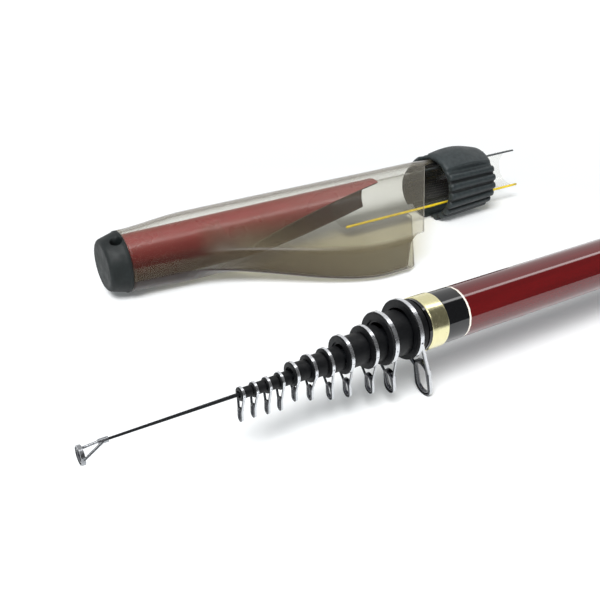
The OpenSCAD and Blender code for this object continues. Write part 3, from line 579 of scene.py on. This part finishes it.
# sizes of the cover as in the CAD, in mm and degrees
NOSE_LEN, NOSE_FRONT_R, SHELL_NOSE_R, SHELL_R, SHELL_RIM_R, TONGUE_END_R = 9.8, 12.2, 14.8, 16.9, 16.1, 13.4
SPIGOT_R, HOLE_X, HOLE_A, HOLE_R, HOLE_FLOOR = 10.9, 6.55, 104, 2.6, 8.6
SHELL_WALL, KEEL_DEPTH, KEEL_FRONT, KEEL_REAR, KEEL_ROUND = 1.2, 57.3, 6.4, 9.8, 3.9
KEEL_START, KEEL_FULL, MOUTH_KEEL, MOUTH_BACK, TONGUE_X, SHELL_FULL = 32, 125, 141, 182, 235, 44
TONGUE_TOP, TONGUE_LOW, TONGUE_TURN = 80, -70, 5
FILM_R, FILM_T, FILM_TOP, FILM_LOW, FILM_FRONT, FILM_REAR = 10.7, 0.4, 80, -125, 133, 257
STRAP_FRONT, STRAP_REAR, FLAP_FRONT, FLAP_REAR = 191, 226, 194, 228
STRAP_T, STRAP_PAD, STRAP_FIT = 2.4, 3, 0.25
STRAP_ROOT, STRAP_END, STRAP_BASE, STRAP_GAP, PAD_START, PAD_END = 56, 258, -98, 1, 66, 128
MOUTH_CORNER, MOUTH_SWEEP, SWEEP_A = 6, 16, 32
RIBS, RIB_H, RIB_HALF, RIB_A0, RIB_A1 = 7, 1.6, 2.1, 142, 244
# room round the pad, and the radii that turn the strap's and the pad's angles into lengths
PAD_FIT, BAND_R, PAD_R = 0.3, 17, 13


def ease(u):
    """0 to 1 with soft ends as u goes from 0 to 1."""
    u = min(max(u, 0), 1)
    return u * u * (3 - 2 * u)


def rise(v, start, width):
    """0 up to start, then 1 after width."""
    return ease((v - start) / width)


def fall(v, end, width):
    """0 from end on, and 1 before it by width."""
    return ease((end - v) / width)


def swell(end, length, least):
    """A round edge: from least at an end to 1 at that length from it."""
    return math.sqrt(max(0.0, 1 - (1 - min(end / length, 1)) ** 2)) * (1 - least) + least


def turned(x, r, a):
    """The point at x and radius r round the cover's axis, at angle a in degrees."""
    return x, r * math.cos(math.radians(a)), r * math.sin(math.radians(a))


def between(a, b, u):
    return a + (b - a) * u


def back_r(x):
    """Outer radius of the cover's round back at x."""
    if x < SHELL_FULL:
        return between(SHELL_NOSE_R, SHELL_R, rise(x, NOSE_LEN, SHELL_FULL - NOSE_LEN))
    if x < MOUTH_BACK:
        return between(SHELL_R, SHELL_RIM_R, rise(x, SHELL_FULL, MOUTH_BACK - SHELL_FULL))
    return between(SHELL_RIM_R, TONGUE_END_R, (x - MOUTH_BACK) / (TONGUE_X - MOUTH_BACK))


def keel(x):
    """How far the keel has grown at x, and how deep it is there."""
    u = rise(x, KEEL_START, KEEL_FULL - KEEL_START)
    return u, between(back_r(x), KEEL_DEPTH, u)


def shell_point(x, a, inside):
    """Point of the cover's section at x, facing angle a, that far inside its outer face."""
    u, depth = keel(x)
    half = between(KEEL_FRONT, KEEL_REAR, u)
    d = Vector((math.cos(math.radians(a)), math.sin(math.radians(a))))
    c = Vector((KEEL_ROUND - depth, half - KEEL_ROUND))
    options = (d * (back_r(x) - inside), c + d * (KEEL_ROUND - inside),
               Vector((c.x, -c.y)) + d * (KEEL_ROUND - inside))
    return max(options, key=lambda p: p.dot(d))


def shell_end(a):
    """Where the shell ends at angle a: a slanted mouth with a round lower corner, or the back's tongue."""
    up = max(shell_point(MOUTH_KEEL, a, 0).x + KEEL_DEPTH, 0)
    mouth = between(MOUTH_KEEL, MOUTH_BACK, min(up / (KEEL_DEPTH - 2 * KEEL_ROUND), 1))
    mouth -= MOUTH_CORNER * (1 - min(up / (2 * KEEL_ROUND), 1)) ** 2
    a = a if a < 180 else a - 360
    mouth += MOUTH_SWEEP * max(0, 1 - max(0, a - TONGUE_TOP) / SWEEP_A) ** 2 if a > 0 else 0
    side = max((a - TONGUE_TOP + TONGUE_TURN) / TONGUE_TURN, (TONGUE_LOW + TONGUE_TURN - a) / TONGUE_TURN)
    return between(TONGUE_X, mouth, ease(side))


def shell_angles():
    """Angles round the shell, closer where the tongue's sides turn."""
    even = {k * 2.5 for k in range(144)}
    close = {start + k * 0.625 for start in (TONGUE_TOP - TONGUE_TURN, TONGUE_LOW + 360) for k in range(9)}
    return sorted(even | close)


def cover_shell():
    """The shell's outer and inner skin, marked where its wall is seen deep, with painted shade, and where its
    edges get painted shade.
    """
    angles = shell_angles()
    front = NOSE_LEN + 0.3
    lip = 0.35  # how far the rim's middle stands out past its edges
    # shares of the length, closer at the ends
    steps = [0.5 * (1 - math.cos(math.pi * k / 64)) * 0.35 + 0.65 * k / 64 for k in range(65)]
    rows = []

    def row(u, inside, short):
        loop = []
        for a in angles:
            x = between(front, shell_end(a), u) - short
            p = shell_point(x, a, inside)
            loop.append((x, p.x, p.y))
        rows.append(loop)

    for u in steps:
        row(u, 0, lip if u == 1 else 0)
    row(1, SHELL_WALL / 2, 0)
    for u in steps[::-1]:
        row(u, SHELL_WALL, lip if u == 1 else 0)
    rows.append(rows[0])
    verts, faces = skin(rows)
    shell = piece("cover_shell_skin", verts, faces, SHELL, "cover", ("cover_shell",), LAY)

    # a darker tone for the keel's lower wall and the back's upper band: partly the plastic seen deep, partly
    # painted shade
    def deep_wall_and_shade(x, y, z, normal):
        u, depth = keel(x)
        inset = y + depth - 0.8
        bottom = ease(1 - inset / KEEL_ROUND) * ease(u * 3)
        if y <= 0 or math.hypot(y, z) <= back_r(x) - 0.5:
            return bottom
        a = math.degrees(math.atan2(normal.z, normal.y))
        return max(bottom, 0.95 * rise(a, 25, 20) * fall(a, 96, 24))

    # painted shade: dark along the shell's lower edge, a maroon shade near the nose, and a dark line on the
    # keel's round upper edge in place of its highlight
    def dark_edge(x, y, z, normal):
        a = math.degrees(math.atan2(normal.z, normal.y)) % 360
        near_nose = 0.55 * rise(a, 158, 26) * (1 - rise(x, 34, 26))
        mark = 0
        if x < MOUTH_KEEL + 2 and z < 4:
            mark = max(rise(a, 186, 16), near_nose) * fall(a, 252, 10)
        if y <= -8 and x <= MOUTH_KEEL + 2:
            upper = rise(a, 112, 22) * fall(a, 200, 10)
            mark = max(mark, 0.62 * upper * rise(x, 38, 20) * (1 - rise(x, 72, 78)))
        return mark

    paint(shell, "wall", deep_wall_and_shade)
    paint(shell, "foot", dark_edge)


def paint(o, name, value):
    """Marks the points of a piece of the cover with value(x, y, z, normal) in the cover's own frame."""
    marks = o.data.attributes.new(name, "FLOAT", "POINT")
    back = LAY.inverted()
    turn = back.to_3x3()
    for v, entry in zip(o.data.vertices, marks.data):
        entry.value = value(*(back @ v.co / MM), turn @ v.normal)


def cover_nose():
    """Rubber plug: soft front edge, a lip where it meets the shell, and a cord hole on top."""
    outline = [
        (0, 0), (0, NOSE_FRONT_R), (NOSE_LEN - 1.4, SHELL_NOSE_R - 0.3), (NOSE_LEN - 1.2, SHELL_NOSE_R),
        (NOSE_LEN, SHELL_NOSE_R), (NOSE_LEN, SPIGOT_R), (NOSE_LEN * 1.5, SPIGOT_R), (NOSE_LEN * 1.5, 0)]
    profile = rounded(outline, (2.3, 0.3, 0.2, 0.25, 0.2, 0.8), 7)
    fine = [profile[0]]
    for a, b in zip(profile, profile[1:]):
        n = max(1, math.ceil((b - a).length / 0.35))
        fine += [a.lerp(b, k / n) for k in range(1, n + 1)]
    verts, faces = lathe(fine, 240)

    def in_hole(x, a):
        return ease((HOLE_R + 0.3 - math.hypot(x - HOLE_X, math.radians(a - HOLE_A) * SHELL_NOSE_R)) / 0.7)

    shaped = []
    for x, y, z in verts:
        r = math.hypot(y, z)
        k = 1
        if r > SPIGOT_R + 0.4:
            k = between(r, HOLE_FLOOR, in_hole(x, math.degrees(math.atan2(z, y)))) / r
        shaped.append((x, y * k, z * k))
    nose = piece("cover_nose_plug", shaped, faces, NOSE, "cover", ("cover_nose_cap",), LAY)

    # marks the cord hole for the black painted shade
    def hole(x, y, z, normal):
        return in_hole(x + 0.4, math.degrees(math.atan2(z, y))) if x > 0.5 else 0

    paint(nose, "hollow_shade", hole)


def rib_height(a):
    """Height of the flap's ribs at angle a."""
    rib = 0
    for k in range(RIBS):
        at = between(RIB_A0, RIB_A1, k / (RIBS - 1))
        off = math.radians(a - at) * (SHELL_RIM_R + STRAP_T) / RIB_HALF
        if abs(off) < 1:
            rib = max(rib, RIB_H * math.sqrt(1 - off * off))
    return rib


def flap_height(a, u):
    """Height over the flap's band at angle a and share u of its width: the domed pad, then the ribs."""
    dome = STRAP_PAD * (0.2 + 0.8 * math.sin(math.pi * min(max(u, 0), 1)))
    return dome * rise(a, PAD_START, 5) * fall(a, PAD_END + 3, 6) + rib_height(a)


def band(name, front, rear, a0, a1, height, body, stands_for, steps):
    """A rubber band round the cover's axis with rounded edges and ends."""
    edge, soft, mid = 0.7, 1.1, STRAP_T / 2
    rows = []
    for k in range(steps + 1):
        a = between(a0, a1, k / steps)
        slim = swell(min(k, steps - k) / steps * math.radians(a1 - a0) * BAND_R, 0.8, 0.25)
        low = mid - mid * slim

        def high(x, drop=0):
            full = STRAP_T + height(a, (x - front) / (rear - front))
            return max(mid + (full - mid) * slim - drop, mid)

        run = [(front, low + edge * 0.5), (front + 0.2, low + 0.15), (front + edge, low)]
        run += [(between(front + edge, rear - edge, u / 6), low) for u in range(1, 6)]
        run += [(rear - edge, low), (rear - 0.2, low + 0.15), (rear, low + edge * 0.5)]
        run += [(rear - d, high(rear - d, drop)) for d, drop in ((0, soft), (0.16, 0.62), (0.5, 0.24))]
        run += [(x, high(x)) for x in (between(rear - soft, front + soft, u / 18) for u in range(19))]
        run += [(front + d, high(front + d, drop)) for d, drop in ((0.5, 0.24), (0.16, 0.62), (0, soft))]
        rows.append([turned(x, back_r(x) + STRAP_FIT + h, a) for x, h in run])
    verts, faces = skin(rows, ends=True)
    return piece(name, verts, faces, STRAP, body, stands_for, LAY)


def cover_flap():
    """The strap's flap, marked in the grooves between its ribs for painted shade."""
    flap = band("cover_strap_flap", FLAP_FRONT, FLAP_REAR, STRAP_ROOT, STRAP_END, flap_height, "strap",
                ("cover_strap",), 404)

    def groove(x, y, z, normal):
        a = math.degrees(math.atan2(z, y)) % 360
        return (1 - ease(rib_height(a) / RIB_H * 1.1)) * rise(a, PAD_END + 4, 6) * 0.9

    paint(flap, "hollow_shade", groove)


def cover_pad():
    """Cloth-faced pad inside the tongue, with soft edges."""
    a0, a1 = -64, TONGUE_TOP - 4
    x0, x1 = MOUTH_BACK + 2, TONGUE_X - 3
    there = [(between(x0, x1, u / 24), -1) for u in range(25)]
    back = [(between(x1, x0, u / 24), 1) for u in range(25)]
    low = FILM_R + PAD_FIT
    rows = []
    steps = 48
    for k in range(steps + 1):
        a = between(a0, a1, k / steps)
        slim = swell(min(k, steps - k) / steps * math.radians(a1 - a0) * PAD_R, 1, 0.2)
        loop = []
        for x, side in there + back:
            high = back_r(x) - SHELL_WALL - PAD_FIT
            mid = (low + high) / 2
            thin = swell(min(x - x0, x1 - x), 1, 0.2)
            loop.append(turned(x, mid + (high - mid) * slim * thin * side, a))
        rows.append(loop)
    verts, faces = skin(rows, ends=True)
    pad = piece("cover_pad_cloth", verts, faces, PAD, "cover", ("cover_pad",), LAY)


def film_bead(name, angle, half, x0, material, stands_for):
    """Bead along one edge of the film, with half its height and half its width in mm."""
    rows = []
    for k in range(25):
        x = between(x0, FILM_REAR, k / 24)
        loop = []
        for j in range(16):
            b = 2 * math.pi * j / 16
            r = FILM_R - FILM_T / 2 + half[0] * math.cos(b)
            turn = math.radians(angle) + half[1] * math.sin(b) / FILM_R
            loop.append((x, r * math.cos(turn), r * math.sin(turn)))
        rows.append(loop)
    verts, faces = skin(rows, ends=True)
    piece(name, verts, faces, material, "cover", stands_for, LAY)


cover_shell()
cover_nose()
band("cover_strap_lower", STRAP_FRONT, STRAP_REAR, STRAP_BASE, STRAP_ROOT - STRAP_GAP, lambda a, u: 0,
     "cover", ("cover_strap_base",), 120)
cover_flap()
cover_pad()
film_bead("cover_film_top_bead", FILM_TOP, (0.5, 0.8), FILM_FRONT + 50, DARK_EDGE, ())
film_bead("cover_film_low_bead", FILM_LOW, (0.7, 1.0), FILM_FRONT, YELLOW, ("cover_film_edge",))


# ---------------------------------------------------------------- rear grip

GRIP_BORE_FRONT, GRIP_BORE_REAR, GRIP_FIT = 23.1, 24.6, 0.05


def rear_grip():
    """Foam grip with rounded ends on the tapered tube."""
    lo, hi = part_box("rear_grip")
    x0, x1, r = lo.x / MM, hi.x / MM, hi.z / MM
    outline = [(x0, GRIP_BORE_FRONT / 2 + GRIP_FIT), (x0, r), (x1, r), (x1, GRIP_BORE_REAR / 2 + GRIP_FIT)]
    profile = rounded(outline, (1.6, 1.6), 8)
    profile = [profile[0]] + profile[1:9] + [
        Vector((between(x0 + 2, x1 - 2, k / 40), r)) for k in range(1, 40)] + profile[10:]
    profile.append(profile[0])
    verts, faces = lathe(profile, 128)
    piece("rear_grip_foam", verts, faces, FOAM, "butt", ("rear_grip",))


rear_grip()


# ---------------------------------------------------------------- floor, light and background

CENTRE = Vector((-0.85, 0.05, 0))
FLOOR_X, FLOOR_Z = -0.8548, -0.0317  # a point of the floor, m
FLOOR_HALF = 30  # half its side, m


def floor_z(x):
    return FLOOR_Z + math.tan(math.radians(LIE_SLOPE)) * (x - FLOOR_X)


floor_mesh = bpy.data.meshes.new("floor")
corners = [(i * FLOOR_HALF, j * FLOOR_HALF) for i, j in ((-1, -1), (1, -1), (1, 1), (-1, 1))]
floor_mesh.from_pydata([(x, y, floor_z(x)) for x, y in corners], [], [(0, 1, 2, 3)])
floor = bpy.data.objects.new("floor", floor_mesh)
scene.collection.objects.link(floor)


def light_path(tree):
    """1 for rays that see the background: from the camera, from gloss and through clear things."""
    path = tree.nodes.new("ShaderNodeLightPath")
    total = path.outputs["Is Camera Ray"]
    for other in ("Is Glossy Ray", "Is Transmission Ray"):
        m = tree.nodes.new("ShaderNodeMath")
        m.operation = "MAXIMUM"
        tree.links.new(total, m.inputs[0])
        tree.links.new(path.outputs[other], m.inputs[1])
        total = m.outputs[0]
    return total


def floor_material():
    """White paper that glows more away from the object, so that the background stays white."""
    look = Look("floor")
    look.tree.nodes.remove(look.shader)
    paper = look.node("ShaderNodeBsdfDiffuse")
    grain = look.noise(2.5, 2)
    look.link(look.ramp(grain, [(0.3, (0.89, 0.9, 0.905)), (0.7, (0.9, 0.91, 0.915))]), paper.inputs["Color"])
    glow = look.node("ShaderNodeEmission")
    glow.inputs["Color"].default_value = (0.93, 0.99, 1.0, 1)
    away = look.node("ShaderNodeVectorMath", operation="DISTANCE")
    away.inputs[1].default_value = CENTRE
    look.link(look.place, away.inputs[0])
    lift = look.span(away.outputs["Value"], 0.1, 0.9, 0.25, 1.3)
    look.link(look.maths("MULTIPLY", light_path(look.tree), lift), glow.inputs["Strength"])
    both = look.node("ShaderNodeAddShader")
    look.link(paper.outputs[0], both.inputs[0])
    look.link(glow.outputs[0], both.inputs[1])
    look.link(both.outputs[0], look.output.inputs["Surface"])
    return look.material


floor_mesh.materials.append(floor_material())

world = bpy.data.worlds.new("world")
scene.world = world
world.use_nodes = True
tree = world.node_tree
white = tree.nodes["Background"]
white.inputs["Color"].default_value = (1, 1, 1, 1)
white.inputs["Strength"].default_value = 1.0
ambient = tree.nodes.new("ShaderNodeBackground")
ambient.inputs["Color"].default_value = (0.95, 0.98, 1, 1)
ambient.inputs["Strength"].default_value = 0.28
choose = tree.nodes.new("ShaderNodeMixShader")
tree.links.new(light_path(tree), choose.inputs[0])
tree.links.new(ambient.outputs[0], choose.inputs[1])
tree.links.new(white.outputs[0], choose.inputs[2])
tree.links.new(choose.outputs[0], tree.nodes["World Output"].inputs["Surface"])

KEY_OFFSET, KEY_SIDE, KEY_WATTS = Vector((-1.0, -0.95, 1.6)), 0.85, 56
key_data = bpy.data.lights.new("key", "AREA")
key_data.shape = "RECTANGLE"
key_data.size = key_data.size_y = KEY_SIDE
key_data.energy = KEY_WATTS
key = bpy.data.objects.new("key", key_data)
key.location = CENTRE + KEY_OFFSET
key.rotation_mode = "QUATERNION"
key.rotation_quaternion = (key.location - CENTRE).to_track_quat("Z", "Y")
scene.collection.objects.link(key)


def card(name, corner, along, across, strength):
    """A studio card that only polished surfaces see: bright as a softbox, or dark as a flag."""
    corner, along, across = Vector(corner), Vector(along), Vector(across)
    mesh = bpy.data.meshes.new(name)
    mesh.from_pydata([corner, corner + along, corner + along + across, corner + across], [], [(0, 1, 2, 3)])
    o = bpy.data.objects.new(name, mesh)
    scene.collection.objects.link(o)
    material = bpy.data.materials.new(name)
    material.use_nodes = True
    t = material.node_tree
    t.nodes.remove(t.nodes["Principled BSDF"])
    e = t.nodes.new("ShaderNodeEmission")
    e.inputs["Strength"].default_value = strength
    t.links.new(e.outputs[0], t.nodes["Material Output"].inputs["Surface"])
    mesh.materials.append(material)
    o.visible_camera = o.visible_diffuse = o.visible_transmission = False
    o.visible_shadow = o.visible_volume_scatter = False


card("front_flag", (-1.4, -0.16, -0.03), (2.6, 0, 0), (0, 0, 0.95), 0.12)
card("strip_light", (-1.2, -0.098, 0.8), (2.4, 0, 0), (0, 0.126, 0), 4.0)
card("roof", (-2.5, 0.13, 1.5), (6, 0, 0), (0, 4, 0), 0.8)
